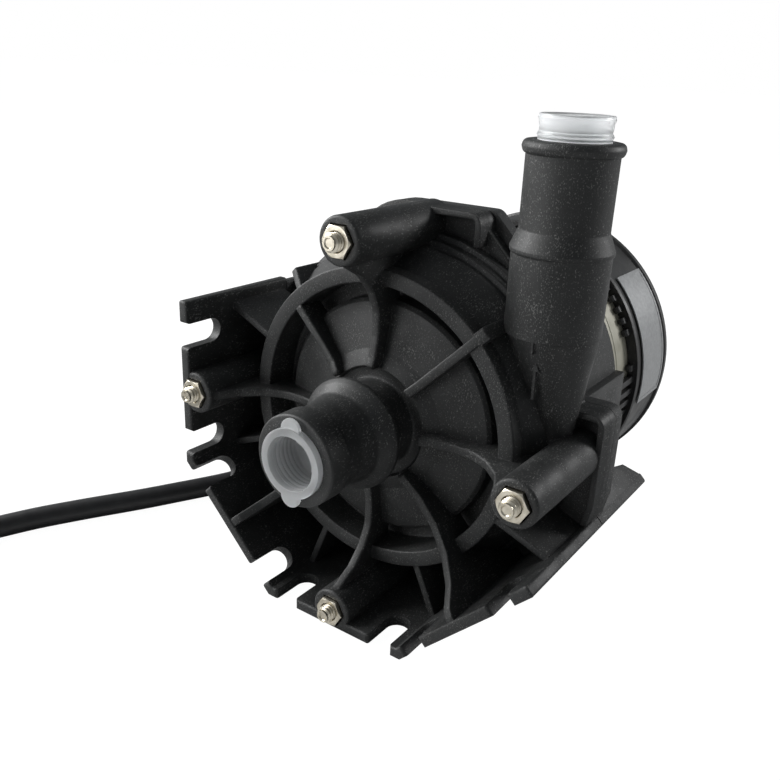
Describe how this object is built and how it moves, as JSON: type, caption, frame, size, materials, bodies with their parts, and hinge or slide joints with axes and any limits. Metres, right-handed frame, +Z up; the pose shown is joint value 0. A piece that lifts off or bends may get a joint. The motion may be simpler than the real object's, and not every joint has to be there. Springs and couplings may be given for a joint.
{
  "type": "circulator pump",
  "caption": "Small mains circulator pump with a ribbed volute casing, slotted foot, wet spherical motor, hose tails with transport plugs and a lead.",
  "frame": {"origin": "on the underside of the bottom foot plate, under the pump axis, 30 mm behind the front edge of the feet", "axes": "+Z up, +Y back along the pump axis from the inlet to the motor, +X to the right seen from the inlet"},
  "size_m": [0.2728, 0.2381, 0.1468],
  "materials": {
    "black_glass_filled_plastic": "satin moulded, glass filled",
    "black_cover_plastic": "satin moulded",
    "nickel_steel": "nickel plated",
    "stainless": "drawn sheet",
    "seal_rubber": "smooth",
    "ceramic": "polished ceramic",
    "carbon": "pressed carbon",
    "impeller_plastic": "moulded",
    "ferrite": "moulded magnet",
    "lamination_steel": "stacked sheet steel",
    "copper_winding": "enamelled copper wire",
    "can_metal": "pale satin lacquer",
    "circuit_board": "solder resist",
    "capacitor_sleeve": "shrink sleeve",
    "label_silver": "bare foil plate",
    "milky_plastic": "translucent soft plastic",
    "lead_black": "satin sheath",
    "connector_nylon": "moulded nylon"
  },
  "bodies": {
    "pump_body": {"bearing_ball": "ceramic", "bearing_post": "stainless", "board_capacitor": "capacitor_sleeve", "cable_gland": "lead_black", "casing_bolt_bottom": "nickel_steel", "casing_bolt_left": "nickel_steel", "casing_bolt_right": "nickel_steel", "casing_bolt_top": "nickel_steel", "casing_nut_bottom": "nickel_steel", "casing_nut_left": "nickel_steel", "casing_nut_right": "nickel_steel", "casing_nut_top": "nickel_steel", "casing_seal": "seal_rubber", "circuit_board": "circuit_board", "connector_pin_1": "nickel_steel", "connector_pin_2": "nickel_steel", "connector_pin_3": "nickel_steel", "cord_coil": "lead_black", "cord_connector": "connector_nylon", "cord_tail": "lead_black", "cord_tie": "lead_black", "cover_screw_1": "nickel_steel", "cover_screw_2": "nickel_steel", "cover_screw_3": "nickel_steel", "label_plate": "label_silver", "motor_bracket": "black_glass_filled_plastic", "rear_cover": "black_cover_plastic", "separation_shell": "stainless", "stator_can": "can_metal", "stator_coil_1": "copper_winding", "stator_coil_2": "copper_winding", "stator_coil_3": "copper_winding", "stator_coil_4": "copper_winding", "stator_coil_5": "copper_winding", "stator_coil_6": "copper_winding", "stator_core": "lamination_steel", "supply_cord": "lead_black", "volute_casing": "black_glass_filled_plastic"},
    "rotor": {"impeller": "impeller_plastic", "rotor_magnet": "ferrite", "bearing_cup": "carbon"},
    "inlet_plug": {"inlet_plug": "milky_plastic"},
    "outlet_plug": {"outlet_plug": "milky_plastic"}
  },
  "joints": [
    {"name": "impeller_spin", "type": "hinge", "parent": "pump_body", "child": "rotor", "pos_m": [0, 0.025, 0.06], "axis": [0, 1, 0], "continuous": true},
    {"name": "inlet_plug_pull", "type": "slide", "parent": "pump_body", "child": "inlet_plug", "axis": [0, -1, 0], "range_m": [0, 0.03]},
    {"name": "outlet_plug_pull", "type": "slide", "parent": "pump_body", "child": "outlet_plug", "axis": [0, 0, 1], "range_m": [0, 0.03]}
  ]
}
